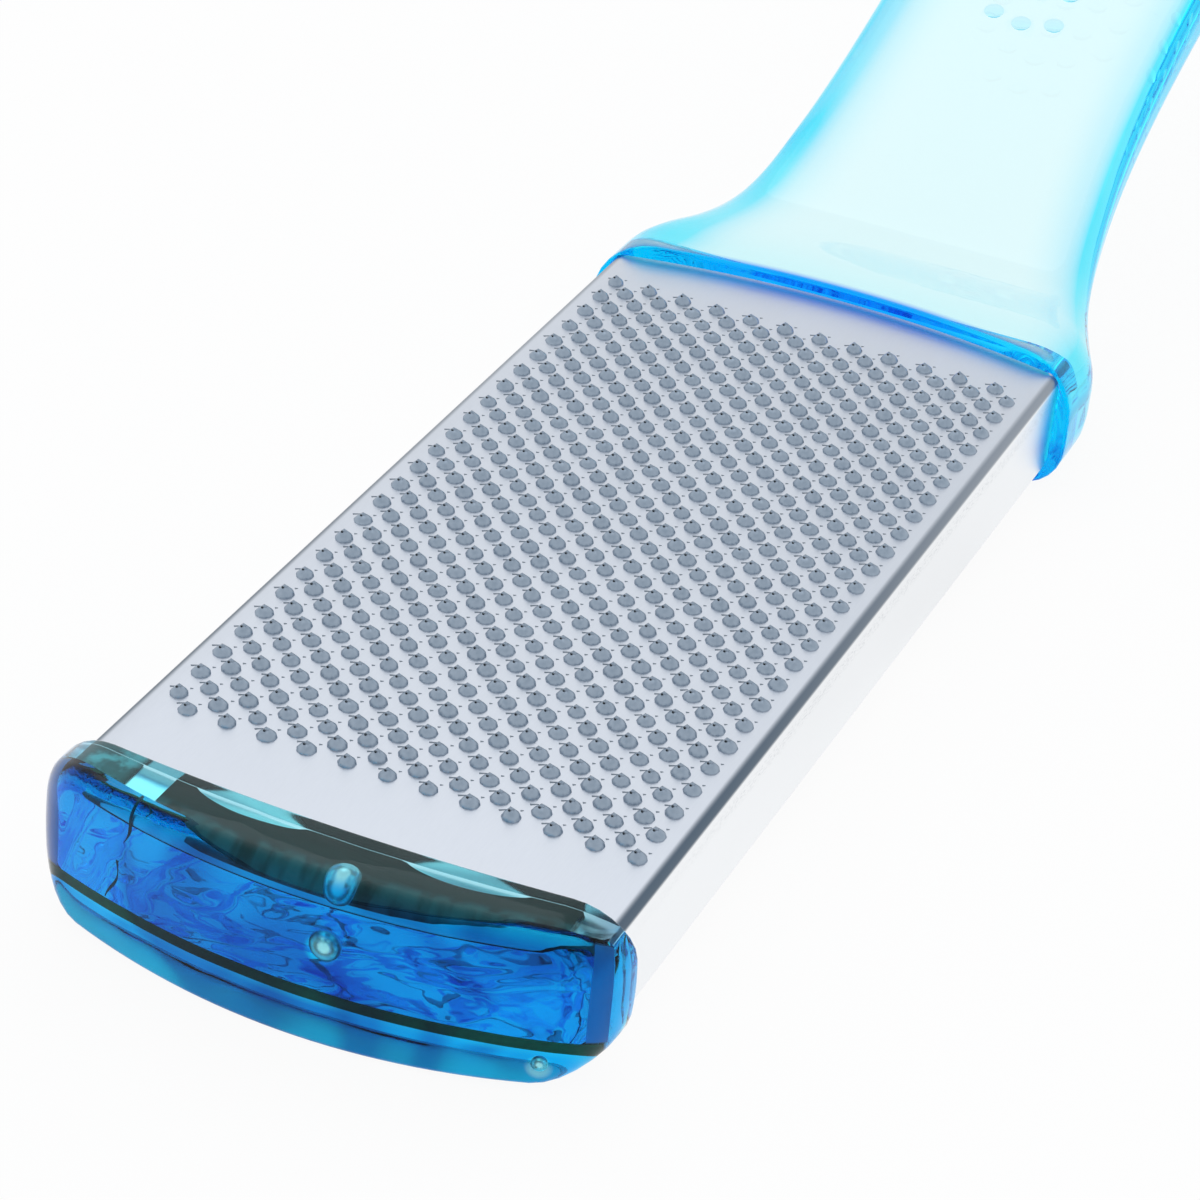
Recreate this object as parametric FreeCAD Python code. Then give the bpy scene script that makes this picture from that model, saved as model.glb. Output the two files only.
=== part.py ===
import FreeCAD, Part
import math
import os
from FreeCAD import Vector

# Two-sided foot file. Millimetres. +X points to the nose, +Y to the right, +Z up.
# The origin is under the middle of the file, on the surface that it lies on.

# Whole file
overall_length = 210.0

# Punched teeth of the coarse side: staggered rows, half a pitch apart
tooth_pitch = 3.2
tooth_columns = 12
tooth_rows = 50
tooth_base = 1.9
tooth_rim = 0.9
tooth_height = 0.75
tooth_pit = 0.6
tooth_sides = 3

# Steel plates
sheet = 0.5
bend_radius = 0.9
sleeve_height = 8.4
side_margin = 2.4
front_margin = 14.0
rear_margin = 8.4
fine_flange = 3.2
fine_pitch = 1.6
fine_height = 0.35
fine_side_margin = 2.0

# Fits
plate_fit = 0.05
glue_gap = 0.15

# Nose
nose_wall = 2.7
nose_cover = 3.4
nose_lip = 2.7
nose_cheek = 1.5
nose_crown = 1.0
nose_side_bulge = 0.7
nose_front_radius = 58.0
nose_back_radius = 90.0
nose_corner_radius = 4.2
nose_plan_radius = 3.2

# Tenon that joins the two mouldings inside the sleeve
spigot_length = 24.0
tenon_length = 16.0
tenon_width = 20.0
tenon_height = 3.4

# Collar
collar_cover = 0.7
collar_arch = 3.2
collar_wall = 1.6
collar_lip = 1.3
collar_length = 6.5
collar_corner_radius = 3.6
collar_foot = 0.15

# Neck, throat, waist and swell of the handle, as shares of the way back from the collar to the round end.
# Each rise is the height of the upper face above the coarse plate.
neck_share = 0.163
neck_half_width = 17.2
neck_rise = 0.5
neck_thickness = 8.8
throat_share = 0.272
throat_half_width = 14.3
throat_rise = 3.8
throat_thickness = 7.7
waist_share = 0.446
waist_half_width = 13.5
waist_rise = 10.5
waist_thickness = 7.8
swell_share = 0.783
swell_rise = 21.0
swell_thickness = 8.4
end_half_width = 15.2
end_rise = 24.5
end_thickness = 8.0
grip_corner_radius = 3.2
grip_sections = 13

# Raised dots under the thumb
dot_rows = (3, 5, 7, 7, 5, 3)
dot_share = 0.489
dot_row_pitch = 4.2
dot_pitch = 3.0
dot_row_radius = 6.5
dot_radius = 0.9
dot_height = 0.4
dot_sides = 6

# Hole to hang the file by
hang_radius = 3.0
hang_setback = 9.0

# Places along the file
nose_front = overall_length / 2
grip_end = -overall_length / 2
sleeve_front = nose_front - nose_wall
nose_back = sleeve_front - nose_cover
field_front = sleeve_front - front_margin
field_length = (tooth_rows - 1) * tooth_pitch / 2
field_width = (tooth_columns - 0.5) * tooth_pitch
sleeve_rear = field_front - field_length - rear_margin
collar_front = sleeve_rear + collar_cover
collar_corner = collar_front + collar_arch
core_rear = collar_front + spigot_length

# Widths and heights
sleeve_half = field_width / 2 + side_margin
sleeve_bottom = nose_lip
plate_top = sleeve_bottom + sleeve_height
nose_top = plate_top + nose_lip
nose_half = sleeve_half + nose_cheek
collar_half = sleeve_half + collar_wall
collar_top = plate_top + collar_lip
fine_half = sleeve_half - sheet - plate_fit
core_half = fine_half - sheet - plate_fit
core_bottom = sleeve_bottom + sheet + plate_fit
core_top = plate_top - sheet - plate_fit
core_middle = (core_bottom + core_top) / 2
sleeve_end_radius = nose_front_radius - nose_wall

os.makedirs("parts", exist_ok=True)


def block(x0, x1, half, z0, z1):
    return Part.makeBox(x1 - x0, 2 * half, z1 - z0, Vector(x0, -half, z0))


def polygon(points):
    return Part.makePolygon(points + points[:1])


def long_edges(shape):
    return [e for e in shape.Edges if e.BoundBox.XLength > 0.9 * shape.BoundBox.XLength]


def rounded_bar(x0, x1, half, z0, z1, radius, edge_heights):
    bar = block(x0, x1, half, z0, z1)
    edges = [e for z in edge_heights for e in long_edges(bar) if abs(e.CenterOfMass.z - z) < 0.01]
    return bar.makeFillet(radius, edges)


def sag(radius, half):
    return radius - math.sqrt(radius * radius - half * half)


# Upright prism between two ends that are arched in plan, both bowed to the nose
def arched_prism(front, front_radius, back, back_radius, half, height):
    ends = []
    for x, radius in ((front, front_radius), (back, back_radius)):
        corner = x - sag(radius, half)
        ends.append((Vector(corner, half, 0), Vector(x, 0, 0), Vector(corner, -half, 0)))
    (front_left, front_mid, front_right), (back_left, back_mid, back_right) = ends
    edges = [
        Part.Arc(front_left, front_mid, front_right).toShape(),
        Part.makeLine(front_right, back_right),
        Part.Arc(back_right, back_mid, back_left).toShape(),
        Part.makeLine(back_left, front_left),
    ]
    return Part.Face(Part.Wire(edges)).extrude(Vector(0, 0, height))


# The front end of the plates, arched in plan like the nose
def sleeve_front_trim(back):
    reach_back = back - sleeve_half
    return arched_prism(sleeve_front, sleeve_end_radius, reach_back, 10 * nose_half, nose_half, nose_top)


# Folded channel with its web at one height and its lips at the other
def channel(half, web, lip):
    inward = math.copysign(sheet, lip - web)
    outer = rounded_bar(sleeve_rear, sleeve_front, half, min(web, lip), max(web, lip), bend_radius, (web,))
    inner_web = web + inward
    inner_lip = lip + inward
    inner = rounded_bar(
        sleeve_rear - 1,
        sleeve_front + 1,
        half - sheet,
        min(inner_web, inner_lip),
        max(inner_web, inner_lip),
        bend_radius - sheet,
        (inner_web,),
    )
    return outer.cut(inner).common(sleeve_front_trim(sleeve_rear)).Solids[0]


# Points of a regular ring round a centre, in the plane of two directions
def ring(centre, ahead, across, radius, sides):
    points = []
    for k in range(sides):
        angle = 2 * math.pi * k / sides
        points.append(centre + ahead * (radius * math.cos(angle)) + across * (radius * math.sin(angle)))
    return points


# Coarse plate: the web carries the punched teeth, each a burr of a few petals round a pit
def tooth(x, y):
    ahead = Vector(1, 0, 0)
    across = Vector(0, 1, 0)
    top = plate_top + tooth_height
    base = ring(Vector(x, y, plate_top), ahead, across, tooth_base / 2, tooth_sides)
    rim = ring(Vector(x, y, top), ahead, across, tooth_rim / 2, tooth_sides)
    pit = Vector(x, y, top - tooth_pit)
    faces = []
    for k in range(tooth_sides):
        n = (k + 1) % tooth_sides
        faces.append(Part.Face(polygon([base[k], base[n], rim[n], rim[k]])))
        faces.append(Part.Face(polygon([rim[k], rim[n], pit])))
    return polygon(base[::-1]), faces


coarse_bar = channel(sleeve_half, plate_top, sleeve_bottom)
web = [f for f in coarse_bar.Faces if abs(f.BoundBox.ZMin - plate_top) < 1e-6][0]
holes = []
tooth_faces = []
for row in range(tooth_rows):
    x = field_front - row * tooth_pitch / 2
    shift = 0.25 if row % 2 == 0 else -0.25
    for column in range(tooth_columns):
        y = (column - (tooth_columns - 1) / 2 + shift) * tooth_pitch
        hole, faces = tooth(x, y)
        holes.append(hole)
        tooth_faces += faces
punched = Part.Face([web.OuterWire] + holes)
plain = [f for f in coarse_bar.Faces if not f.isSame(web)]
skin = Part.Compound(plain + [punched] + tooth_faces)
skin.sewShape()
coarse_plate = Part.Solid(skin.Shells[0])
coarse_plate.exportStep("parts/coarse_plate.step")

# Fine plate: a shallow channel inside the flanges, file-cut across its outer face
fine_bar = channel(fine_half, sleeve_bottom, sleeve_bottom + fine_flange)
fine_count = int(field_length / fine_pitch)
fine_start = field_front - fine_count * fine_pitch
cuts = [Vector(fine_start, 0, core_bottom - plate_fit)]
for k in range(fine_count):
    x = fine_start + k * fine_pitch
    cuts.append(Vector(x, 0, sleeve_bottom))
    cuts.append(Vector(x + fine_pitch / 4, 0, sleeve_bottom - fine_height))
cuts.append(Vector(field_front, 0, sleeve_bottom))
cuts.append(Vector(field_front, 0, core_bottom - plate_fit))
cut_half = fine_half - fine_side_margin
cut_bar = Part.Face(polygon(cuts)).extrude(Vector(0, 2 * cut_half, 0))
cut_bar.translate(Vector(0, -cut_half, 0))
fine_plate = fine_bar.fuse(cut_bar).removeSplitter().Solids[0]
fine_plate.exportStep("parts/fine_plate.step")


# Nose and core: a crowned cushion, grooved at the back for the sleeve, on a solid core
def crowned_bar(x0, x1, half, z1, crown, bulge, radius):
    y = half - bulge
    corner = [Vector(x0, y, z1 - crown), Vector(x0, -y, z1 - crown), Vector(x0, -y, crown), Vector(x0, y, crown)]
    via = [Vector(x0, 0, z1), Vector(x0, -half, z1 / 2), Vector(x0, 0, 0), Vector(x0, half, z1 / 2)]
    arcs = [Part.Arc(corner[k], via[k], corner[(k + 1) % 4]).toShape() for k in range(4)]
    bar = Part.Face(Part.Wire(arcs)).extrude(Vector(x1 - x0, 0, 0))
    return bar.makeFillet(radius, long_edges(bar))


nose_plan = arched_prism(nose_front, nose_front_radius, nose_back, nose_back_radius, nose_half, nose_top)
front_corners = [e for e in nose_plan.Edges if e.BoundBox.ZLength > 1 and e.CenterOfMass.x > nose_back - 0.5]
nose_plan = nose_plan.makeFillet(nose_plan_radius, front_corners)
nose_rear = nose_back - sag(nose_back_radius, nose_half)
cushion = crowned_bar(
    nose_rear - 1, nose_front + 1, nose_half, nose_top, nose_crown, nose_side_bulge, nose_corner_radius
)
groove_half = sleeve_half + glue_gap
groove_low = sleeve_bottom - glue_gap
groove_high = plate_top + glue_gap
groove = rounded_bar(
    nose_rear - 1, sleeve_front, groove_half, groove_low, groove_high, bend_radius + glue_gap, (groove_high,)
)
groove = groove.common(sleeve_front_trim(nose_rear))
core_edges = (core_bottom, core_top)
core = rounded_bar(core_rear, sleeve_front, core_half, core_bottom, core_top, bend_radius, core_edges)
mortise = block(
    core_rear,
    core_rear + tenon_length,
    tenon_width / 2 + glue_gap,
    core_middle - tenon_height / 2 - glue_gap,
    core_middle + tenon_height / 2 + glue_gap,
)
nose_core = cushion.common(nose_plan).cut(groove).fuse(core).cut(mortise).removeSplitter().Solids[0]
nose_core.exportStep("parts/nose_core.step")


# Handle: rounded sections, sized from a plan spline and two side splines, in one loft
def spline(points):
    travel = [0.0]
    for before, after in zip(points, points[1:]):
        travel.append(travel[-1] + before.distanceToPoint(after))
    free = len(points) - 2
    along = Vector(-1, 0, 0)
    curve = Part.BSplineCurve()
    curve.interpolate(
        Points=points,
        Parameters=travel,
        Tangents=[along] + [Vector(0, 0, 0)] * free + [along],
        TangentFlags=[True] + [False] * free + [True],
        Scale=False,
    )
    return curve


def reach(curve, x):
    low = curve.FirstParameter
    high = curve.LastParameter
    for _ in range(40):
        middle = (low + high) / 2
        if curve.value(middle).x > x:
            low = middle
        else:
            high = middle
    return low


def section(x, half, z0, z1, radius):
    r = radius
    c = radius * (1 - math.sqrt(0.5))
    y = half
    arcs = [
        (Vector(x, y - r, z1), Vector(x, y - c, z1 - c), Vector(x, y, z1 - r)),
        (Vector(x, y, z0 + r), Vector(x, y - c, z0 + c), Vector(x, y - r, z0)),
        (Vector(x, r - y, z0), Vector(x, c - y, z0 + c), Vector(x, -y, z0 + r)),
        (Vector(x, -y, z1 - r), Vector(x, c - y, z1 - c), Vector(x, r - y, z1)),
    ]
    edges = []
    for k in range(4):
        edges.append(Part.Arc(*arcs[k]).toShape())
        edges.append(Part.makeLine(arcs[k][2], arcs[(k + 1) % 4][0]))
    return Part.Wire(edges)


collar_rear = collar_front - collar_length
end_x = grip_end + end_half_width
grip_length = collar_front - end_x
neck_x = collar_front - neck_share * grip_length
throat_x = collar_front - throat_share * grip_length
waist_x = collar_front - waist_share * grip_length
swell_x = collar_front - swell_share * grip_length
dot_front = collar_front - dot_share * grip_length
width_curve = spline(
    [
        Vector(collar_rear, collar_half, 0),
        Vector(neck_x, neck_half_width, 0),
        Vector(throat_x, throat_half_width, 0),
        Vector(waist_x, waist_half_width, 0),
        Vector(end_x, end_half_width, 0),
    ]
)
stations = [
    (neck_x, neck_rise, neck_thickness),
    (throat_x, throat_rise, throat_thickness),
    (waist_x, waist_rise, waist_thickness),
    (swell_x, swell_rise, swell_thickness),
    (end_x, end_rise, end_thickness),
]
top_curve = spline(
    [Vector(collar_rear, 0, collar_top)] + [Vector(x, 0, plate_top + r) for x, r, t in stations]
)
bottom_curve = spline(
    [Vector(collar_rear, 0, -collar_foot)] + [Vector(x, 0, plate_top + r - t) for x, r, t in stations]
)
wires = [
    section(collar_corner + 1, collar_half, -collar_foot, collar_top, collar_corner_radius),
    section((collar_corner + collar_rear) / 2, collar_half, -collar_foot, collar_top, collar_corner_radius),
]
for k in range(grip_sections):
    share = k / (grip_sections - 1)
    x = collar_rear + (end_x - collar_rear) * share ** 1.25
    half = width_curve.value(reach(width_curve, x)).y
    high = top_curve.value(reach(top_curve, x)).z
    low = bottom_curve.value(reach(bottom_curve, x)).z
    blend = min(1, 3 * share)
    radius = collar_corner_radius + (grip_corner_radius - collar_corner_radius) * blend
    wires.append(section(x, half, low, high, radius))
body = Part.makeLoft(wires, True, True)

end_high = plate_top + end_rise
end_low = end_high - end_thickness
edge = [e for e in section(end_x, end_half_width, end_low, end_high, grip_corner_radius).Edges]
half_outline = [
    Part.makeLine(Vector(end_x, 0, end_high), edge[0].Vertexes[0].Point),
    edge[0],
    edge[1],
    edge[2],
    Part.makeLine(edge[2].Vertexes[1].Point, Vector(end_x, 0, end_low)),
    Part.makeLine(Vector(end_x, 0, end_low), Vector(end_x, 0, end_high)),
]
round_end = Part.Face(Part.Wire(half_outline)).revolve(Vector(end_x, 0, 0), Vector(0, 0, 1), 180)

arch_radius = (collar_half * collar_half + collar_arch * collar_arch) / (2 * collar_arch)
arch = Part.makeCylinder(arch_radius, nose_top + 2, Vector(collar_front + arch_radius, 0, -1))
socket = rounded_bar(
    sleeve_rear, collar_corner + 2, groove_half, groove_low, groove_high, bend_radius + glue_gap, (groove_high,)
)
spigot = rounded_bar(sleeve_rear - 1, core_rear, core_half, core_bottom, core_top, bend_radius, core_edges)
tenon = block(
    core_rear - 1,
    core_rear + tenon_length - glue_gap,
    tenon_width / 2,
    core_middle - tenon_height / 2,
    core_middle + tenon_height / 2,
)
hang_hole = Part.makeCylinder(hang_radius, end_high + 1, Vector(grip_end + hang_setback, 0, 0))


# Each dot is a low tapered stud, square to the upper face and sunk a little into it
across = Vector(0, 1, 0)
dots = []
for row, count in enumerate(dot_rows):
    for k in range(count):
        y = (k - (count - 1) / 2) * dot_pitch
        x = dot_front - row * dot_row_pitch - y * y / (2 * dot_row_radius)
        spot = reach(top_curve, x)
        foot = top_curve.value(spot) + Vector(0, y, 0)
        along = top_curve.tangent(spot)[0]
        normal = Vector(along.z, 0, -along.x)
        base = ring(foot - normal * dot_height, along, across, 1.4 * dot_radius, dot_sides)
        top = ring(foot + normal * dot_height, along, across, 0.6 * dot_radius, dot_sides)
        dots.append(Part.makeLoft([polygon(base), polygon(top)], True, True))

below = block(neck_x, collar_corner + 2, collar_half + 1, -1, 0)
handle = body.fuse(round_end).cut(Part.Compound([arch, socket, hang_hole, below]))
handle = handle.multiFuse([spigot, tenon] + dots).removeSplitter().Solids[0]
handle.exportStep("parts/handle.step")
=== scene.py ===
import math

import bmesh
import bpy
import numpy as np
from mathutils import Matrix, Vector


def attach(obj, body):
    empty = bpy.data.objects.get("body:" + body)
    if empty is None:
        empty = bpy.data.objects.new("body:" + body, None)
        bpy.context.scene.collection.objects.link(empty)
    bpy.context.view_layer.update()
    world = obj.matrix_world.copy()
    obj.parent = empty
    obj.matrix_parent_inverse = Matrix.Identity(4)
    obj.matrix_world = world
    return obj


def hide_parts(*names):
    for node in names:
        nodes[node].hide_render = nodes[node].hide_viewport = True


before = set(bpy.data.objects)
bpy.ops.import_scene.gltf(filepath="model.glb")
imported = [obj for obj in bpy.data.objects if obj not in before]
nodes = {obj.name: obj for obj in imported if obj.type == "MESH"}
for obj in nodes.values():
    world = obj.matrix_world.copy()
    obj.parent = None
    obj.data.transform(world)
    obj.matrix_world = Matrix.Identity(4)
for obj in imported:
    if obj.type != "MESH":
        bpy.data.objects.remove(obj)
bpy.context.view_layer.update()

# Nose and core: one clear blue moulding, a thick crowned cushion at the tip on a solid
# core that runs back inside the steel. It is injection moulded, so its faces are a little
# wavy, and three small bubbles are trapped behind the front face, drawn as opaque pale
# cyan balls whose colour is a painted glint.
mm = 0.001
corner_steps, long_steps, short_steps = 7, 28, 5


def outline(half, low, high, radius, crown=0.0, bulge=0.0):
    """Points (y, z) of a rounded rectangle and their outward normals, from the right side up and round."""
    upper = []
    mid, half_tall = (low + high) / 2, (high - low) / 2
    tall, wide = high - radius - mid, half - radius
    for k in range(short_steps):
        upper.append((half, mid + tall * k / short_steps, 1.0, 0.0))
    for k in range(corner_steps):
        a = math.pi / 2 * k / corner_steps
        c, s = math.cos(a), math.sin(a)
        upper.append((wide + radius * c, high - radius + radius * s, c, s))
    for k in range(long_steps // 2):
        upper.append((wide * (1 - 2 * k / long_steps), high, 0.0, 1.0))
    left = [(-y, z, -ny, nz) for y, z, ny, nz in reversed(upper)]
    upper = upper + [(0.0, high, 0.0, 1.0)] + left
    under = [(y, 2 * mid - z, ny, -nz) for y, z, ny, nz in reversed(upper[1:-1])]
    points = np.array(upper + under)
    flat = (points[:, 1] - mid) / half_tall
    across = points[:, 0] / half
    points[:, 1] = mid + (points[:, 1] - mid) * (1 - crown / half_tall * across**2)
    points[:, 0] *= 1 - bulge / half * flat**2
    return points[:, :2], points[:, 2:]


def arch(radius, y):
    return radius - np.sqrt(radius**2 - y**2)


def loop(points, x):
    """One loop of corners in space, in millimetres, from section points and their places along the file."""
    return np.column_stack([np.broadcast_to(x, len(points)), points])


def solid_mesh(name, corners, faces):
    """A mesh from corners in millimetres."""
    mesh = bpy.data.meshes.new(name)
    mesh.from_pydata((np.array(corners) * mm).tolist(), [], faces)
    return mesh


def skin(name, loops, first, last):
    """Mesh through a row of equal loops, each end of which is flat, crossed by a ladder of faces, or open."""
    count = len(loops[0])
    half = count // 2
    faces = []
    for k in range(len(loops) - 1):
        a, b = k * count, (k + 1) * count
        faces += [(a + i, b + i, b + (i + 1) % count, a + (i + 1) % count) for i in range(count)]
    for base, turn, end in ((0, 1, first), ((len(loops) - 1) * count, -1, last)):
        if end == "flat":
            faces.append(tuple(range(base, base + count))[::turn])
        if end == "ladder":
            side = short_steps + corner_steps
            flanks = [[k % count for k in range(spot - side, spot + side + 1)] for spot in (0, half)]
            rungs = [[i, i + 1, count - i - 1, count - i] for i in range(side, half - side)]
            faces += [tuple(base + j for j in face[::turn]) for face in flanks + rungs]
    return solid_mesh(name, np.concatenate(loops), faces)


def mark(mesh, name, values):
    """Stores a number on each corner of a mesh, for its material to read."""
    mesh.attributes.new(name, "FLOAT", "POINT").data.foreach_set("value", values)


def settle(mesh, sharp=35):
    """Merges doubled corners, turns the faces outward and smooths all but the crisp edges."""
    work = bmesh.new()
    work.from_mesh(mesh)
    bmesh.ops.remove_doubles(work, verts=work.verts, dist=1e-6)
    bmesh.ops.dissolve_degenerate(work, edges=work.edges, dist=1e-7)
    bmesh.ops.recalc_face_normals(work, faces=work.faces)
    work.to_mesh(mesh)
    work.free()
    mesh.shade_smooth()
    mesh.set_sharp_from_angle(angle=math.radians(sharp))
    return mesh


def place(mesh, *materials):
    """Puts a finished mesh in the scene as an object at the origin."""
    for material in materials:
        mesh.materials.append(material)
    piece = bpy.data.objects.new(mesh.name, mesh)
    bpy.context.scene.collection.objects.link(piece)
    return piece


class Wire:
    """A socket of a node tree. Sums, differences, products and quotients add Math nodes."""

    def __init__(self, tree, socket=None):
        self.tree = tree
        self.socket = socket

    def node(self, kind, settings, inputs, output=0):
        made = self.tree.nodes.new(kind)
        stops = settings.pop("stops", None)
        for name, value in settings.items():
            setattr(made, name, value)
        if stops:
            while len(made.color_ramp.elements) < len(stops):
                made.color_ramp.elements.new(0.5)
            for element, (spot, colour) in zip(made.color_ramp.elements, stops):
                element.position = spot
                element.color = (*colour, 1.0)
        for key, value in inputs.items():
            if isinstance(value, Wire):
                self.tree.links.new(value.socket, made.inputs[key])
            else:
                made.inputs[key].default_value = value
        return Wire(self.tree, made.outputs[output] if made.outputs else None)

    def maths(self, operation, *values):
        return self.node("ShaderNodeMath", {"operation": operation}, dict(enumerate(values)))

    def __add__(self, other):
        return self.maths("ADD", self, other)

    __radd__ = __add__

    def __mul__(self, other):
        return self.maths("MULTIPLY", self, other)

    __rmul__ = __mul__

    def __sub__(self, other):
        return self.maths("SUBTRACT", self, other)

    def __rsub__(self, other):
        return self.maths("SUBTRACT", other, self)

    def __truediv__(self, other):
        return self.maths("DIVIDE", self, other)

    def ramp(self, low, high):
        """0 below low and 1 above high, smooth between."""
        return self.node(
            "ShaderNodeMapRange",
            {"interpolation_type": "SMOOTHSTEP"},
            {"Value": self, "From Min": low, "From Max": high},
        )

    def band(self, low, high, soft):
        return self.ramp(low - soft, low + soft) * (1 - self.ramp(high - soft, high + soft))

    def tint(self, low, high):
        """A colour from low at 0 to high at 1; each end is a colour or another wire."""
        factor, colour_low, colour_high, colour_out = 0, 6, 7, 2
        ends = {factor: self}
        for key, end in ((colour_low, low), (colour_high, high)):
            ends[key] = end if isinstance(end, Wire) else (*end, 1.0)
        return self.node("ShaderNodeMix", {"data_type": "RGBA"}, ends, colour_out)

    def spot(self):
        """The place in the piece."""
        return self.node("ShaderNodeTexCoord", {}, {}, "Object")

    def axes(self):
        return [self.node("ShaderNodeSeparateXYZ", {}, {"Vector": self}, name) for name in "XYZ"]

    def noise(self, scale, detail, distortion=0.0):
        """Noise at a place; three scales stretch it along the axes."""
        inputs = {"Vector": self, "Detail": detail, "Distortion": distortion}
        if isinstance(scale, tuple):
            inputs["Vector"] = self.node("ShaderNodeMapping", {}, {"Vector": self, "Scale": scale})
        else:
            inputs["Scale"] = scale
        return self.node("ShaderNodeTexNoise", {}, inputs)

    def bump(self, strength, distance):
        return self.node("ShaderNodeBump", {}, {"Strength": strength, "Distance": distance, "Height": self})

    def attribute(self, name):
        return self.node("ShaderNodeAttribute", {"attribute_name": name}, {}, "Fac")

    def surface(self, inputs, volume=None):
        """Ends a material: a Principled shader with these inputs, and a volume where there is one."""
        ends = {"Surface": self.node("ShaderNodeBsdfPrincipled", {}, inputs)}
        if volume:
            ends["Volume"] = volume
        self.node("ShaderNodeOutputMaterial", {}, ends)


def finish_of(name):
    """An empty node material and the wire that starts its tree."""
    material = bpy.data.materials.new(name)
    material.use_nodes = True
    material.node_tree.nodes.clear()
    return material, Wire(material.node_tree)


def clear_plastic(name, density, dye, wave, colour):
    """Clear blue moulding: the blue comes from the depth of plastic that the light has crossed,
    and is deeper where colour, a function of the tree, its place and its swirl, says so."""
    material, root = finish_of(name)
    spot = root.spot()
    swirl = spot.noise(scale=85.0, detail=0.6, distortion=1.8)
    scuff = spot.noise(scale=900.0, detail=3.0)
    depth = root.node("ShaderNodeVolumeAbsorption", {}, {"Color": (*dye, 1.0), "Density": density})
    root.surface(
        {
            "Base Color": colour(root, spot, swirl),
            "Roughness": 0.008 + 0.03 * scuff.ramp(0.45, 0.8),
            "IOR": 1.47,
            "Specular Tint": (0.12, 0.16, 0.2, 1.0),
            "Transmission Weight": 1.0,
            "Normal": swirl.bump(strength=1.0, distance=wave),
        },
        depth,
    )
    return material


nose_front, nose_back, nose_half, nose_top = 105.0, 98.9, 22.3, 13.8
nose_front_radius, nose_back_radius = 58.0, 90.0
cushion_radius, cushion_crown, cushion_bulge = 4.2, 1.0, 0.7
edge_round, cheek_round, brow_round, back_round = 0.5, 2.7, 0.8, 0.35
front_steps, back_steps, face_margin = 8, 4, 0.35
sleeve_front, sleeve_rear, sleeve_half, sleeve_end_radius = 102.3, 1.5, 20.8, 55.3
plate_top, sleeve_bottom = 11.1, 2.7
core_half, core_low, core_high, core_rear, core_radius = 19.7, 3.25, 10.55, 26.2, 0.9
groove_half, groove_low, groove_high, groove_radius = 20.95, 2.55, 11.25, 0.4
glue_seat, tenon_gap = 0.06, 0.3
cushion, cushion_out = outline(nose_half, 0.0, nose_top, cushion_radius, cushion_crown, cushion_bulge)
groove, _ = outline(groove_half, groove_low, groove_high, groove_radius)
core, _ = outline(core_half, core_low, core_high, core_radius)
sideways, upward = cushion_out.T
front_round = edge_round + cheek_round * sideways**2 + brow_round * np.clip(upward, 0, 1) ** 2
front_round = front_round[:, None]


def nose_face(points, depth):
    return loop(points, nose_front - arch(nose_front_radius, points[:, 0]) - np.ravel(depth))


def nose_rear(points, depth):
    return loop(points, nose_back - arch(nose_back_radius, points[:, 0]) + depth)


def sleeve_end(y, gap=0.0):
    """Place along the file of the sleeve's arched front end, or of what lies a gap before it."""
    return sleeve_front + gap - arch(sleeve_end_radius, y)


flank_power, under_lean = 1.5, -0.3
flank = np.maximum(np.abs(sideways) ** flank_power, upward < under_lean)
nose_loops = [nose_face(cushion - cushion_out * (front_round + face_margin), 0 * front_round)]
nose_marks = [np.ones(len(cushion))]
for k in range(front_steps + 1):
    a = math.pi / 2 * k / front_steps
    inset = front_round * (1 - math.sin(a))
    nose_loops.append(nose_face(cushion - cushion_out * inset, front_round * (1 - math.cos(a))))
    nose_marks.append(flank + (1 - flank) * math.cos(a))
for k in range(back_steps + 1):
    a = math.pi / 2 * k / back_steps
    inset = cushion_out * back_round * (1 - math.cos(a))
    nose_loops.append(nose_rear(cushion - inset, back_round * (1 - math.sin(a))))
    nose_marks.append(flank)
inner_loops = [
    nose_rear(groove, 0.0),
    loop(groove, sleeve_end(groove[:, 0], glue_seat)),
    loop(core, sleeve_end(core[:, 0], glue_seat)),
    loop(core, core_rear + tenon_gap),
]
nose_marks += [np.zeros(len(cushion))] * len(inner_loops)
nose_mesh = skin("nose_moulding", nose_loops + inner_loops, "ladder", "flat")
mark(nose_mesh, "deep", np.concatenate(nose_marks))
settle(nose_mesh)
bubbles = (
    (1.2, Vector((103.0, 3.3, 12.5))),
    (1.2, Vector((103.65, 2.8, 8.0))),
    (0.6, Vector((101.44, 17.9, 2.35))),
)
halo_near, halo_far = 0.25, 0.65
ball_sides, ball_rings = 28, 16
turns = np.arange(ball_sides) * 2 * math.pi / ball_sides
work = bmesh.new()
work.from_mesh(nose_mesh)
for size, centre in bubbles:
    rings = []
    for k in range(ball_rings + 1):
        a = math.pi * k / ball_rings
        level = np.full(ball_sides, math.cos(a))
        ring = np.column_stack([math.sin(a) * np.cos(turns), math.sin(a) * np.sin(turns), level])
        rings.append(size * ring + np.array(centre))
    ball = settle(skin("bubble", rings, "open", "open"))
    outer_count = len(work.faces)
    work.from_mesh(ball)
    work.faces.ensure_lookup_table()
    inner = work.faces[outer_count:]
    bmesh.ops.reverse_faces(work, faces=inner)
    for f in inner:
        f.smooth = True
        f.material_index = 1
    bpy.data.meshes.remove(ball)
work.to_mesh(nose_mesh)
work.free()


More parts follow.
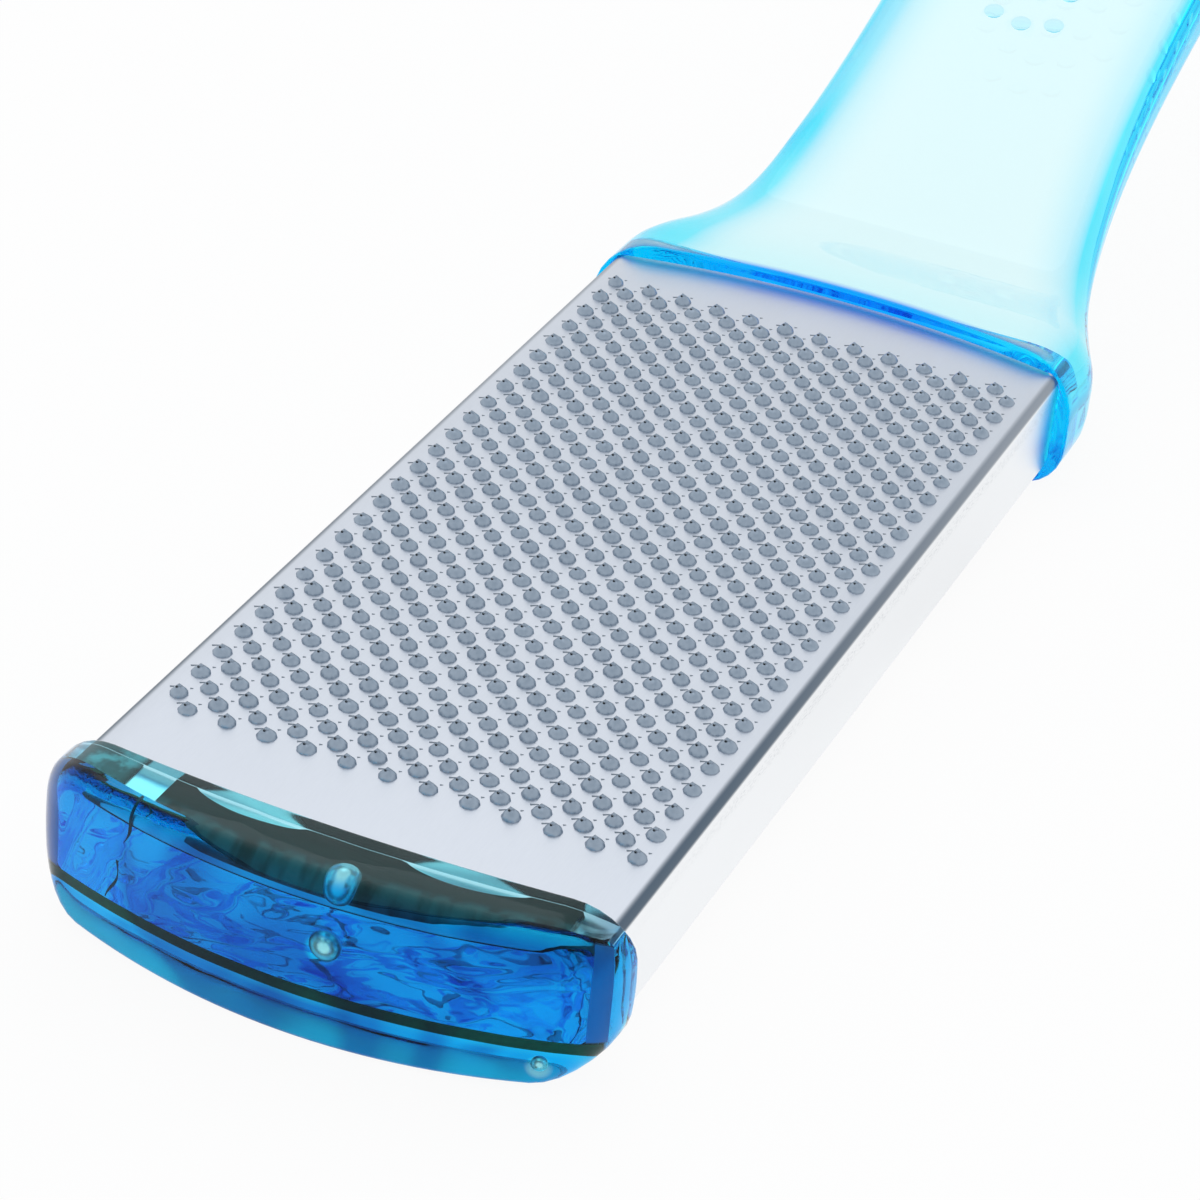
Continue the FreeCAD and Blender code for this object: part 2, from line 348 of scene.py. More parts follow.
def nose_colour(root, spot, swirl):
    deep = root.attribute("deep")
    blue = swirl.ramp(0.36, 0.66).tint((0.00002, 0.09, 0.4), (0.0006, 0.42, 0.9))
    for size, centre in bubbles:
        ends = {0: spot, 1: centre * mm}
        away = root.node("ShaderNodeVectorMath", {"operation": "DISTANCE"}, ends, "Value")
        deep = deep * away.ramp((size + halo_near) * mm, (size + halo_far) * mm)
    return deep.tint((0.6, 0.95, 0.985), blue)


nose_plastic = clear_plastic(
    "nose_plastic", density=90.0, dye=(0.0, 0.94, 0.99), wave=0.12 * mm, colour=nose_colour
)
# The bubbles are drawn as opaque pale cyan metal balls: their colour is a painted glint standing for the
# light a real air bubble sends back.
bubble_glint, root = finish_of("bubble_painted_glint")
spot = root.spot()
gleam = spot.noise(scale=600.0, detail=1.0)
root.surface(
    {
        "Base Color": gleam.tint((0.35, 0.88, 1.0), (0.8, 1.0, 1.0)),
        "Metallic": 0.6,
        "Roughness": 0.2 + 0.1 * gleam,
    }
)
nose = place(nose_mesh, nose_plastic, bubble_glint)
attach(nose, "root")
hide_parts("nose_core")

# Fine plate: a shallow channel of thin stainless steel under the file. Its outer face is
# file-cut straight across in close rows and it nests inside the flanges of the coarse plate.
material, root = finish_of("file_cut_steel")
spot = root.spot()
grain = spot.noise(scale=(60.0, 2400.0, 900.0), detail=3.0)
stain = spot.noise(scale=70.0, detail=4.0)
root.surface(
    {
        "Base Color": (0.6 * grain + 0.4 * stain).tint((0.52, 0.55, 0.6), (0.74, 0.77, 0.82)),
        "Metallic": 1.0,
        "Roughness": 0.26 + 0.16 * grain,
        "Normal": grain.bump(strength=0.25, distance=0.03 * mm),
    }
)
fine = nodes["fine_plate"]
fine.data.materials.clear()
fine.data.materials.append(material)

# Coarse plate: stainless sheet folded into a channel over the fine plate. The satin top is
# bright, each fold carries a dark line of painted shade, the flange walls and the front end are
# painted near white as a painted highlight, and a row of galling scratches runs below each fold.
bend, sheet = 0.9, 0.5
web_steps, bend_steps = 30, 6


def fold(half, top, radius):
    """Half of a folded section, from the middle of the web out over the bend and down the flange."""
    points = [((half - radius) * k / (web_steps / 2), top) for k in range(web_steps // 2)]
    for k in range(bend_steps + 1):
        a = math.pi / 2 * (1 - k / bend_steps)
        points.append((half - radius + radius * math.cos(a), top - radius + radius * math.sin(a)))
    return points + [(half, sleeve_bottom)]


outer = fold(sleeve_half, plate_top, bend)
inner = fold(sleeve_half - sheet, plate_top - sheet, bend - sheet)
profile = [(-y, z) for y, z in outer[:0:-1]] + outer + inner[:0:-1] + [(-y, z) for y, z in inner]
profile = np.array(list(dict.fromkeys(profile)))
count = len(profile)
faces = [(i, (i + 1) % count, count + (i + 1) % count, count + i) for i in range(count)]
for base in (0, count):
    faces += [
        (base + i, base + i + 1, base + count - 2 - i, base + count - 1 - i) for i in range(count // 2 - 1)
    ]
ends = [loop(profile, sleeve_rear), loop(profile, sleeve_end(profile[:, 0]))]
sheet_mesh = settle(solid_mesh("coarse_sheet", np.concatenate(ends), faces))

material, root = finish_of("satin_steel")
spot = root.spot()
along, across, height = spot.axes()
grain = spot.noise(scale=(150.0, 2600.0, 2600.0), detail=3.0)
cloud = spot.noise(scale=55.0, detail=4.0)
speckle = spot.noise(scale=(420.0, 2200.0, 2200.0), detail=5.0)
edge = across.maths("ABSOLUTE", across)
# Painted shade: a dark line along each rounded fold, stronger towards the front; a faint row of galling
# scratches is mixed in below it.
fold_line = edge.ramp(19.9 * mm, 20.4 * mm) * height.ramp(10.3 * mm, 10.6 * mm)
bend_shade = fold_line * (0.55 + 0.35 * along.ramp(0.0, 85 * mm))
gall_row = height.band(8.8 * mm, 9.9 * mm, 0.4 * mm) * (1 - along.ramp(70 * mm, 100 * mm))
bend_shade_and_galling = bend_shade.maths("MAXIMUM", bend_shade, 0.2 * (gall_row * speckle.ramp(0.5, 0.62)))
satin = (0.5 * grain + 0.5 * cloud).tint((0.54, 0.575, 0.63), (0.64, 0.675, 0.73))
# Painted highlight: the flange walls and the front end of the sheet inside the nose are painted near white.
flange = edge.ramp(20.3 * mm, 20.5 * mm) * (1 - height.ramp(10.4 * mm, 10.6 * mm))
painted_bright = flange.maths("MAXIMUM", flange, along.ramp(98.7 * mm, 99.2 * mm))
satin_and_painted_highlight = painted_bright.tint(satin, (0.93, 0.95, 0.97))
root.surface(
    {
        "Base Color": bend_shade_and_galling.tint(satin_and_painted_highlight, (0.05, 0.09, 0.135)),
        "Metallic": 1.0,
        "Roughness": 0.26 + 0.08 * grain + 0.08 * cloud,
        "Normal": grain.bump(strength=0.2, distance=0.02 * mm),
    }
)
coarse = place(sheet_mesh, material)
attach(coarse, "root")
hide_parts("coarse_plate")

# Rasp teeth: six hundred burrs punched up through the coarse plate from below, in staggered
# rows. Each is a low grey-blue dome with a torn tip raised at its back; the tip and back petal
# are darkened as painted shade, a dark plug in its crown is painted shade of a small hole, and
# two dark slivers lie beside it.
tooth_rings = (
    (0.76, -0.06, 0.0),
    (0.73, 0.09, 0.0),
    (0.58, 0.3, 0.0),
    (0.36, 0.48, 0.02),
    (0.16, 0.58, 0.04),
)
tooth_sides, tooth_crease, tip_turn = 10, math.radians(50), math.radians(-148)
# The torn tip and the back petal are darkened as painted shade inside the crater, and the crown spot is
# painted shade of the small hole.
tip_reach, tip_lift, tip_dark = 0.5, 0.15, 0.3
back_shade_reach, back_shade_dark = 0.3, 0.9
crown_spot, crown_dark = (0.02, -0.02, 0.46), 0.55
slivers = (((-0.62, -0.84), 0.3, 0.1), ((-1.1, 0.46), 0.12, 0.1))
sliver_ends = ((-1, -0.4), (1, -1), (1, 1), (-1, 0.4))
sliver_way, sliver_side = Vector((0.54, -0.84)), Vector((0.84, 0.54))
sliver_low, sliver_high, sliver_dark = -0.03, 0.012, 0.6
pit_x, pit_y, pit_radius, pit_sides = 0.14, -0.14, 0.1, 6
pit_low, pit_high, hole_shade_dark = 0.4, 0.6, 0.9
corners, shade = [], []
for reach, rise, tear in tooth_rings:
    for k in range(tooth_sides):
        a = 2 * math.pi * k / tooth_sides + tip_turn
        lift, dark = tear if k % 2 else -tear, 0.0
        if k == 0 and reach < tip_reach:
            lift += tip_lift
            dark = back_shade_dark if reach > back_shade_reach else tip_dark
        corners.append((reach * math.cos(a), reach * math.sin(a), rise + lift))
        shade.append(dark)
corners.append(crown_spot)
shade.append(crown_dark)
faces = [tuple(reversed(range(tooth_sides)))]
for ring in range(len(tooth_rings) - 1):
    a, b = ring * tooth_sides, (ring + 1) * tooth_sides
    faces += [
        (a + k, a + (k + 1) % tooth_sides, b + (k + 1) % tooth_sides, b + k) for k in range(tooth_sides)
    ]
last = (len(tooth_rings) - 1) * tooth_sides
faces += [(last + k, last + (k + 1) % tooth_sides, len(corners) - 1) for k in range(tooth_sides)]


def sunk_prism(points, low, high, dark):
    """Adds a closed prism to the tooth: a dark shape that stands just out of the steel, used for the slivers
    and for the plug of painted shade in the hole.
    """
    first, sides = len(corners), len(points)
    for z in (low, high):
        corners.extend((x, y, z) for x, y in points)
        shade.extend([dark] * sides)
    faces.append(tuple(first + k for k in reversed(range(sides))))
    faces.append(tuple(first + sides + k for k in range(sides)))
    for k in range(sides):
        n = (k + 1) % sides
        faces.append((first + k, first + n, first + sides + n, first + sides + k))


for centre, length, width in slivers:
    long_way, short_way = sliver_way * length, sliver_side * width
    points = [Vector(centre) + long_way * s + short_way * t for s, t in sliver_ends]
    sunk_prism(points, sliver_low, sliver_high, sliver_dark)
turns = [2 * math.pi * k / pit_sides for k in range(pit_sides)]
points = [(pit_x + pit_radius * math.cos(a), pit_y + pit_radius * math.sin(a)) for a in turns]
# The dark plug in the crown is painted shade that stands for the small hole.
sunk_prism(points, pit_low, pit_high, hole_shade_dark)
tooth_mesh = solid_mesh("tooth", corners, faces)
mark(tooth_mesh, "painted_shade_and_slivers", shade)
tooth_mesh.shade_smooth()
tooth_mesh.set_sharp_from_angle(angle=tooth_crease)

material, root = finish_of("punched_steel")
spot = root.spot()
mottle = spot.noise(scale=2200.0, detail=2.0)
steel = mottle.tint((0.27, 0.34, 0.42), (0.4, 0.47, 0.55))
# Near black where the painted shade marks and the slivers lie.
root.surface(
    {
        "Base Color": root.attribute("painted_shade_and_slivers").ramp(0.15, 1.0).tint(steel, (0.012, 0.014, 0.018)),
        "Metallic": 1.0,
        "Roughness": 0.34 + 0.12 * mottle,
    }
)


def geometry_tree(name, source, sizes):
    """A new geometry tree: the wire that starts it, and the wires of its source and its sizes."""
    tree = bpy.data.node_groups.new(name, "GeometryNodeTree")
    tree.is_modifier = True
    tree.interface.new_socket("Geometry", in_out="OUTPUT", socket_type="NodeSocketGeometry")
    tree.interface.new_socket(source, in_out="INPUT", socket_type="NodeSocketGeometry")
    for key, value in sizes.items():
        kind = "NodeSocketInt" if isinstance(value, int) else "NodeSocketFloat"
        tree.interface.new_socket(key, in_out="INPUT", socket_type=kind)
    given = tree.nodes.new("NodeGroupInput")
    return Wire(tree), {key: Wire(tree, given.outputs[key]) for key in (source, *sizes)}


def grown(seed_mesh, root, copies, material, sizes, name):
    """Ends a geometry tree, runs it on a mesh and gives back the result as a plain mesh."""
    field = root.node("GeometryNodeRealizeInstances", {}, {"Geometry": copies})
    field = root.node("GeometryNodeSetMaterial", {}, {"Geometry": field, "Material": material})
    root.node("NodeGroupOutput", {}, {"Geometry": field})
    holder = place(seed_mesh)
    modifier = holder.modifiers.new("rows", "NODES")
    modifier.node_group = root.tree
    for item in root.tree.interface.items_tree:
        if item.in_out == "INPUT" and item.name in sizes:
            modifier[item.identifier] = sizes[item.name]
    ready = holder.evaluated_get(bpy.context.evaluated_depsgraph_get())
    mesh = bpy.data.meshes.new_from_object(ready)
    mesh.name = name
    holder.modifiers.clear()
    bpy.data.objects.remove(holder)
    return mesh


sizes = {
    "Pitch": 3.2 * mm,
    "Columns": 12,
    "Rows": 50,
    "First row": 88.3 * mm,
    "Plate top": plate_top * mm,
}
side_shift, turn_share = 0.25, 0.4
draws = ((-0.3, 0.3, 4), (0.93, 1.05, 9), (0.86, 1.12, 15))
least_socket, most_socket, number_out = 2, 3, 1
root, take = geometry_tree("punched_rows", "Tooth", sizes)
index = root.node("GeometryNodeInputIndex", {}, {})
row = (index / take["Columns"]).maths("FLOOR", index / take["Columns"])
column = index - row * take["Columns"]
odd = row.maths("MODULO", row, 2.0)
across = (column - (take["Columns"] - 1) / 2 + side_shift - 2 * side_shift * odd) * take["Pitch"]
back = take["First row"] - row * take["Pitch"] / 2
spots = root.node("GeometryNodePoints", {}, {"Count": take["Columns"] * take["Rows"]})
where = root.node("ShaderNodeCombineXYZ", {}, {"X": back, "Y": across, "Z": take["Plate top"]})
spots = root.node("GeometryNodeSetPosition", {}, {"Geometry": spots, "Position": where})
turn, grow, tall = (
    root.node(
        "FunctionNodeRandomValue",
        {"data_type": "FLOAT"},
        {least_socket: least, most_socket: most, "Seed": seed},
        number_out,
    )
    for least, most, seed in draws
)
burrs = root.node(
    "GeometryNodeInstanceOnPoints",
    {},
    {
        "Points": spots,
        "Instance": take["Tooth"],
        "Rotation": root.node("ShaderNodeCombineXYZ", {}, {"Z": turn_share * turn}),
        "Scale": root.node("ShaderNodeCombineXYZ", {}, {"X": grow, "Y": grow, "Z": tall}),
    },
)
teeth = place(grown(tooth_mesh, root, burrs, material, sizes, "coarse_teeth"))
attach(teeth, "root")

# Glue line: a thin dark film on the end of the sleeve, in two spans with a bare strip between
# and two bare lenses at its back edge. A line of glue lies under the sleeve, and a broken thread
# ran down the wall of the groove. A patch at each side covers the gap beside the core and the
# flange end: a sheet put there as painted shade, so that no light shows through the gap.
film_steps, film_fore, film_rear = 72, 0.04, 0.05
film_top, film_under = groove_high + 0.03, plate_top + 0.01
film_spans = ((-19.3, -15.0), (-12.1, 18.0))
lens_centres, lens_half, lens_deep, lens_power = (-6.0, 10.2), 4.4, 0.9, 0.7
bead_near, bead_far = 0.01, 0.06
foot_low, foot_high, foot_half = 2.5, 3.4, groove_half - 0.3
gap_shade_low, gap_shade_high, gap_shade_ends = 3.5, 10.9, (core_half - 0.1, groove_half - 0.02)
thread_parts, thread_steps = ((0.0, 0.28), (0.52, 1.0)), 16
thread_y, thread_z, thread_drift, thread_drop = -13.2, 11.0, 1.8, 7.5
thread_sway, sway_rate = 0.25, 11
thread_half, thread_swell, swell_rate = 0.09, 0.05, 17
corners, faces = [], []


def glue_bar(sections):
    """Adds a closed bar through a row of four-cornered sections."""
    first = len(corners)
    for section in sections:
        corners.extend(section)
    for k in range(len(sections) - 1):
        a = first + 4 * k
        faces.extend((a + i, a + (i + 1) % 4, a + 4 + (i + 1) % 4, a + 4 + i) for i in range(4))
    last = len(corners) - 4
    faces.extend([(first, first + 1, first + 2, first + 3), (last + 3, last + 2, last + 1, last)])


def slab(rear_x, fore_x, y, low, high):
    return [(rear_x, y, low), (rear_x, y, high), (fore_x, y, high), (fore_x, y, low)]


def bead(y, low, high):
    """Section of the glue on the front wall of the groove."""
    wall = sleeve_end(y, glue_seat)
    return slab(wall + bead_near, wall + bead_far, y, low, high)


for left, right in film_spans:
    sections = []
    for y in np.linspace(left, right, film_steps + 1):
        rear_x = nose_back - arch(nose_back_radius, y) + film_rear
        for centre in lens_centres:
            rear_x += lens_deep * max(0.0, 1 - ((y - centre) / lens_half) ** 2) ** lens_power
        sections.append(slab(rear_x, sleeve_end(y) + film_fore, y, film_under, film_top))
    glue_bar(sections)
glue_bar([bead(y, foot_low, foot_high) for y in np.linspace(-foot_half, foot_half, film_steps + 1)])
# Painted shade: a sheet at each side over the gap beside the core and over the flange end.
for side in (-1, 1):
    glue_bar([bead(side * y, gap_shade_low, gap_shade_high) for y in gap_shade_ends])
for start, end in thread_parts:
    sections = []
    for t in np.linspace(start, end, thread_steps):
        y = thread_y - thread_drift * t + thread_sway * math.sin(sway_rate * t)
        z = thread_z - thread_drop * t
        wall = sleeve_end(y, glue_seat)
        wide = thread_half + thread_swell * math.sin(swell_rate * t)
        ends = ((bead_near, -wide), (bead_far, -wide), (bead_far, wide), (bead_near, wide))
        sections.append([(wall + u, y + v, z) for u, v in ends])
    glue_bar(sections)
film_mesh = settle(solid_mesh("glue_line", corners, faces))

material, root = finish_of("dark_glue")
spot = root.spot()
along, across, height = spot.axes()
streak = spot.noise(scale=(900.0, 160.0, 400.0), detail=4.0)
blot = spot.noise(scale=650.0, detail=3.0)
bow = across * across / (2 * sleeve_end_radius * mm)
fringe = 1 - (sleeve_front * mm - bow - along).ramp(0.2 * mm, 1.1 * mm)
thin = 0.55 * fringe * blot.ramp(0.36, 0.62)
film = thin.tint(streak.tint((0.004, 0.012, 0.009), (0.022, 0.036, 0.026)), (0.05, 0.2, 0.21))
starved = (1 - across.ramp(-15.7 * mm, -14.7 * mm)) * height.ramp(10.8 * mm, 11.0 * mm)
film = (starved * (0.25 + 0.75 * blot.ramp(0.42, 0.62))).tint(film, (0.22, 0.62, 0.64))
edge = across.maths("ABSOLUTE", across)
# The side sheets take the deep blue of the plastic around them, as painted shade over the gap.
gap_shade_patch = edge.ramp(19.4 * mm, 19.6 * mm) * height.band(gap_shade_low * mm, gap_shade_high * mm, 0.05 * mm)
film = gap_shade_patch.tint(film, (0.1, 0.45, 0.8))
foot = 1 - height.ramp(foot_high * mm, 3.6 * mm)
root.surface(
    {
        "Base Color": foot.tint(film, streak.tint((0.2, 0.1, 0.02), (0.4, 0.24, 0.06))),
        "Roughness": 0.5 + 0.2 * streak,
        "Normal": streak.bump(strength=0.4, distance=0.05 * mm),
    }
)
glue = place(film_mesh, material)
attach(glue, "root")

# Handle: one clear blue moulding, an arched collar that takes the rear of the sleeve, then a
# flat neck that narrows, rises and swells to a round end with a hole to hang the file by.
collar_front, collar_half, collar_top, collar_low = 2.2, 22.4, 12.4, -0.15
collar_rear, collar_round, collar_sag, collar_steps = 0.5, 0.35, 3.2, 6
lip_margin, rim_depth, socket_radius = 0.12, 0.8, 1.0
end_x, end_half, end_high, end_low = -89.8, 15.2, 35.6, 27.6
stations, crowding, round_steps, handle_crease = 64, 1.15, 16, math.radians(18)
line_steps = 600
grip_length = collar_front - end_x
arch_radius = (collar_half**2 + collar_sag**2) / (2 * collar_sag)


def smooth_line(points):
    """A smooth curve through points that leaves and arrives straight along the file."""
    p = np.array(points, float)
    t = np.concatenate([[0], np.cumsum(np.hypot(*np.diff(p, axis=0).T))])
    h = np.diff(t)
    n = len(p)
    rows, sums = np.eye(n), np.zeros((n, 2))
    sums[0] = sums[-1] = (-1, 0)
    for i in range(1, n - 1):
        rows[i, i - 1 : i + 2] = 1 / h[i - 1], 2 / h[i - 1] + 2 / h[i], 1 / h[i]
        sums[i] = 3 * ((p[i] - p[i - 1]) / h[i - 1] ** 2 + (p[i + 1] - p[i]) / h[i] ** 2)
    slope = np.linalg.solve(rows, sums)
    fine = np.linspace(0, t[-1], line_steps)
    k = np.clip(np.searchsorted(t, fine, side="right") - 1, 0, n - 2)
    s = ((fine - t[k]) / h[k])[:, None]
    run = h[k][:, None]
    line = (
        (1 + 2 * s) * (1 - s) ** 2 * p[k]
        + s * (1 - s) ** 2 * run * slope[k]
        + s**2 * (3 - 2 * s) * p[k + 1]
        + s**2 * (s - 1) * run * slope[k + 1]
    )
    return lambda x: float(np.interp(-x, -line[:, 0], line[:, 1]))


station_shares = (0.163, 0.272, 0.446, 0.783)
neck, throat, waist, swell = (collar_front - share * grip_length for share in station_shares)
flare = (collar_rear + neck) / 2
grip_halves = ((flare, 20.75), (neck, 18.1), (throat, 15.8), (waist, 14.7))
grip_heights = ((neck, 0.5, 8.8), (throat, 3.8, 7.7), (waist, 10.5, 7.8), (swell, 21.0, 8.4))
grip_tops = [(x, plate_top + rise) for x, rise, _ in grip_heights]
grip_unders = [(x, plate_top + rise - thick) for x, rise, thick in grip_heights]
corner_spots, corner_radii = (throat, neck, flare, collar_rear), (3.2, 4.0, 5.2, 5.0)
width_at = smooth_line([(collar_rear, collar_half), *grip_halves, (end_x, end_half)])
top_at = smooth_line([(collar_rear, collar_top), *grip_tops, (end_x, end_high)])
under_at = smooth_line([(collar_rear, collar_low), *grip_unders, (end_x, end_low)])


def collar_face(points, depth=0.0):
    return loop(points, collar_front + arch(arch_radius, points[:, 0]) - depth)


collar, collar_out = outline(collar_half, collar_low, collar_top, corner_radii[-1])
socket, _ = outline(groove_half, groove_low, groove_high, socket_radius)
handle_loops = [
    loop(core, core_rear - tenon_gap),
    loop(core, sleeve_rear),
    loop(socket, sleeve_rear),
    collar_face(socket),
    collar_face(collar - collar_out * (collar_round + lip_margin)),
]
for k in range(collar_steps + 1):
    a = math.pi / 2 * k / collar_steps
    inset = collar_out * collar_round * (1 - math.sin(a))
    handle_loops.append(collar_face(collar - inset, collar_round * (1 - math.cos(a))))
handle_loops.append(collar_face(collar, collar_round + rim_depth))
for k in range(stations + 1):
    x = collar_rear + (end_x - collar_rear) * (k / stations) ** crowding
    radius = np.interp(x, corner_spots, corner_radii)
    section, _ = outline(width_at(x), under_at(x), top_at(x), radius)
    handle_loops.append(loop(section, x))
end_section = handle_loops[-1]
for k in range(1, round_steps + 1):
    a = math.pi / 2 * k / round_steps
    swept = end_section.copy()
    swept[:, 0] = end_x - np.abs(end_section[:, 1]) * math.sin(a)
    swept[:, 1] = end_section[:, 1] * math.cos(a) if k < round_steps else 0.0
    handle_loops.append(swept)
for turned in handle_loops:
    turned[:, 2] = np.maximum(turned[:, 2], 0.0)
handle_mesh = settle(skin("handle_moulding", handle_loops, "flat", "open"))


def handle_colour(root, spot, swirl):
    across = root.node("ShaderNodeSeparateXYZ", {}, {"Vector": spot}, "Y")
    out = across.maths("ABSOLUTE", across).ramp(6 * mm, 21 * mm)
    sides = swirl.tint((0.012, 0.68, 1.0), (0.05, 0.82, 1.0))
    clear = root.attribute("side").tint((0.97, 1.0, 1.0), sides)
    return root.attribute("rim").tint(clear, out.tint((0.00005, 0.15, 1.0), (0.0006, 0.58, 1.0)))


plastic = clear_plastic(
    "handle_plastic", density=28.0, dye=(0.0, 0.9, 0.99), wave=0.02 * mm, colour=handle_colour
)

# Thumb dots: small domes moulded on top of the grip in curved rows.
dots_in_row, first_row_share = (3, 5, 7, 7, 5, 3), 0.466
dot_pitch, row_pitch, row_radius, dot_sunk, dot_turn = 3.0, 4.2, 6.5, 0.34, 0.13
dot_spots, dot_slopes = [], []
for row_index, in_row in enumerate(dots_in_row):
    for k in range(in_row):
        y = (k - (in_row - 1) / 2) * dot_pitch
        x = collar_front - first_row_share * grip_length - row_index * row_pitch - y * y / (2 * row_radius)
        dot_spots.append((x, y, top_at(x) - dot_sunk))
        dot_slopes.append(math.atan2(top_at(x + 0.5) - top_at(x - 0.5), 1.0))
spot_mesh = solid_mesh("dot_spots", dot_spots, [])
mark(spot_mesh, "slope", dot_slopes)
sizes = {"Radius": 1.3 * mm, "Height": 0.5 * mm}
root, take = geometry_tree("thumb_dots", "Spots", sizes)
dome = root.node("GeometryNodeMeshUVSphere", {}, {"Segments": 16, "Rings": 8, "Radius": 1.0})
dome = root.node("GeometryNodeTransform", {}, {"Geometry": dome, "Rotation": (0.0, 0.0, dot_turn)})
slope = root.node("GeometryNodeInputNamedAttribute", {"data_type": "FLOAT"}, {"Name": "slope"})
scale = {"X": take["Radius"], "Y": take["Radius"], "Z": take["Height"]}
dots = root.node(
    "GeometryNodeInstanceOnPoints",
    {},
    {
        "Points": root.node("GeometryNodeMeshToPoints", {}, {"Mesh": take["Spots"]}),
        "Instance": dome,
        "Rotation": root.node("ShaderNodeCombineXYZ", {}, {"Y": 0 - slope}),
        "Scale": root.node("ShaderNodeCombineXYZ", {}, scale),
    },
)
dot_piece = place(grown(spot_mesh, root, dots, plastic, sizes, "thumb_dots"))

# Hang hole: a round hole straight down through the end of the grip.
hole_radius, hole_deep, hole_centre = 3.0, 30.0, Vector((-96.0, 0.0, 31.6))
hole_mesh = bpy.data.meshes.new("hang_hole")
work = bmesh.new()
bmesh.ops.create_cone(
    work,
    cap_ends=True,
    segments=40,
    radius1=hole_radius * mm,
    radius2=hole_radius * mm,
    depth=hole_deep * mm,
    matrix=Matrix.Translation(hole_centre * mm),
)
work.to_mesh(hole_mesh)
work.free()
hole_piece = place(hole_mesh)
handle = place(handle_mesh, plastic)
for cutter, operation in ((dot_piece, "UNION"), (hole_piece, "DIFFERENCE")):
    step = handle.modifiers.new("form", "BOOLEAN")
    step.operation = operation
    step.solver = "EXACT"
    step.object = cutter
formed = bpy.data.meshes.new_from_object(handle.evaluated_get(bpy.context.evaluated_depsgraph_get()))
handle.modifiers.clear()
handle.data = formed
formed.name = "handle_moulding"
bpy.data.objects.remove(dot_piece)
bpy.data.objects.remove(hole_piece)
formed.shade_smooth()
formed.set_sharp_from_angle(angle=handle_crease)

# Edges of the moulding hold the blue: all of the rim and the sides, fading in over the faces.
band_width, band_fade, side_gain, fade_gain = 3.2, 4.0, 2.2, 0.25
dot_proud, dot_blue, rim_slack = 0.02, 0.4, 0.05
corners = np.empty(3 * len(formed.vertices))
formed.vertices.foreach_get("co", corners)
x, y, z = corners.reshape(-1, 3).T / mm
normals = np.empty_like(corners)
formed.vertex_normals.foreach_get("vector", normals)
lean = normals.reshape(-1, 3)
round_half = np.sqrt(np.clip(end_half**2 - np.minimum(x - end_x, 0) ** 2, 0, None))
half = np.where(x > end_x, [width_at(v) for v in x], round_half)
inward = np.clip(1 - (half - band_width - np.abs(y)) / band_fade, 0, 1)
outward = np.where(x > end_x, lean[:, 1] ** 2, 1 - lean[:, 2] ** 2)
proud = np.array([top_at(v) for v in x]) + dot_proud < z
side = np.clip(side_gain * outward + fade_gain * inward**2, 0, 1)
side[proud & (x > end_x) & (x < neck)] = dot_blue
behind = collar_front + arch(arch_radius, np.clip(y, -collar_half, collar_half)) - x
rim = np.where(behind > -rim_slack, np.clip(1 - (behind - collar_round) / rim_depth, 0, 1), 0.0)
mark(formed, "rim", rim)
mark(formed, "side", side)
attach(handle, "root")
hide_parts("handle")

# Studio: a white sweep under the file, white at the level of the horizon and greyer overhead,
# with one broad soft lamp above and the camera over the nose.
floor_half, floor_glow = 6.0, 0.93
floor_mesh = bpy.data.meshes.new("floor")
floor_corners = [(floor_half * u, floor_half * v, 0) for u, v in ((-1, -1), (1, -1), (1, 1), (-1, 1))]
floor_mesh.from_pydata(floor_corners, [], [(0, 1, 2, 3)])
material, root = finish_of("white_sweep")
path = root.tree.nodes.new("ShaderNodeLightPath")
seen = Wire(root.tree, path.outputs["Is Camera Ray"])
for ray in ("Is Glossy Ray", "Is Transmission Ray"):
    seen = seen.maths("MAXIMUM", seen, Wire(root.tree, path.outputs[ray]))
paper = root.node("ShaderNodeBsdfDiffuse", {}, {"Color": (0.9, 0.9, 0.9, 1.0)})
glow = root.node("ShaderNodeEmission", {}, {"Color": (1.0, 1.0, 1.0, 1.0), "Strength": 1.0})
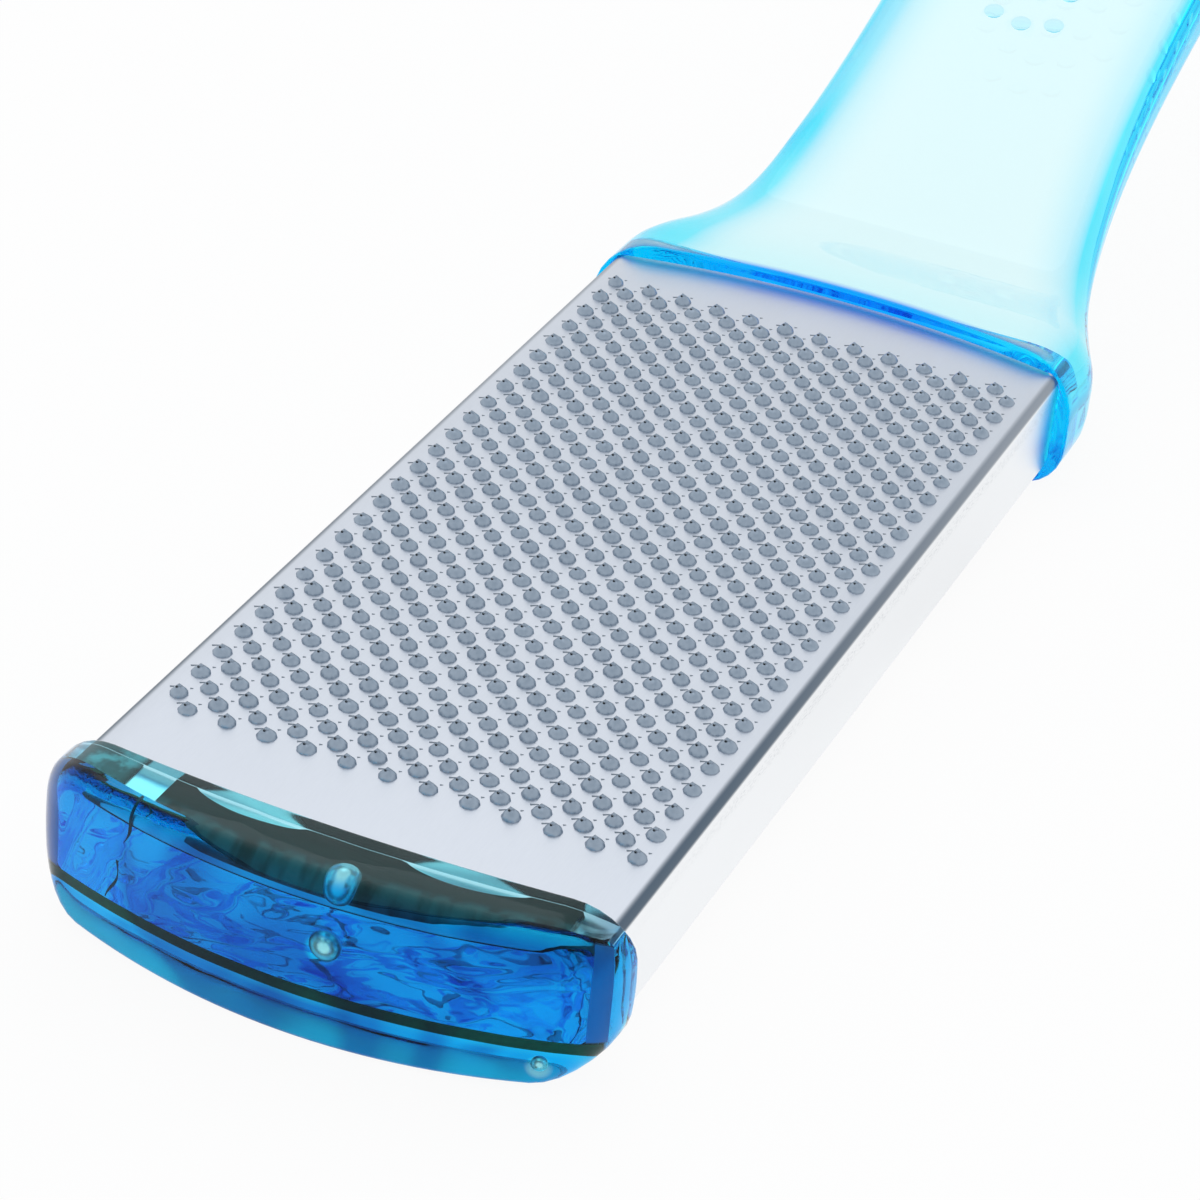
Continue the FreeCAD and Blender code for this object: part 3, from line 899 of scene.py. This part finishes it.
mixed = root.node("ShaderNodeMixShader", {}, {0: floor_glow * seen, 1: paper, 2: glow})
root.node("ShaderNodeOutputMaterial", {}, {"Surface": mixed})
floor = place(floor_mesh, material)

world = bpy.data.worlds.new("studio")
bpy.context.scene.world = world
world.use_nodes = True
world.node_tree.nodes.clear()
root = Wire(world.node_tree)
way = root.node("ShaderNodeTexCoord", {}, {}, "Generated")
height = root.node("ShaderNodeSeparateXYZ", {}, {"Vector": way}, "Z")
sky_stops = [
    (0.0, (1.0, 1.0, 1.0)),
    (0.4, (0.97, 0.98, 1.0)),
    (0.7, (0.8, 0.82, 0.85)),
    (1.0, (0.7, 0.72, 0.75)),
]
sky = root.node("ShaderNodeValToRGB", {"stops": sky_stops}, {"Fac": height})
light = root.node("ShaderNodeBackground", {}, {"Color": sky, "Strength": 1.0})
root.node("ShaderNodeOutputWorld", {}, {"Surface": light})

lamp = bpy.data.lights.new("soft_box", "AREA")
lamp.shape = "DISK"
lamp.size = 0.9
lamp.energy = 1.4
lamp_aim = Vector((0.04, 0.0, 0.0))
lamp_spot = bpy.data.objects.new("soft_box", lamp)
lamp_spot.location = (-0.35, -0.25, 0.85)
lamp_spot.rotation_euler = (lamp_aim - lamp_spot.location).to_track_quat("-Z", "Y").to_euler()
bpy.context.scene.collection.objects.link(lamp_spot)

camera = bpy.data.cameras.new("camera")
camera.lens = 118.37
camera.sensor_width = 36.0
camera.clip_start = 0.01
viewer = bpy.data.objects.new("camera", camera)
viewer_spot = Vector((0.296174, 0.095305, 0.166644))
right = Vector((-0.411034, 0.907737, 0.084048))
up = Vector((-0.446488, -0.280838, 0.849575))
facing = Matrix((right, up, right.cross(up))).transposed().to_4x4()
viewer.matrix_world = Matrix.Translation(viewer_spot) @ facing
bpy.context.scene.collection.objects.link(viewer)
bpy.context.scene.camera = viewer
bpy.context.scene.view_settings.view_transform = "Standard"
light_bounces = 32
bpy.context.scene.cycles.max_bounces = light_bounces
bpy.context.scene.cycles.transmission_bounces = light_bounces
bpy.context.scene.cycles.glossy_bounces = light_bounces
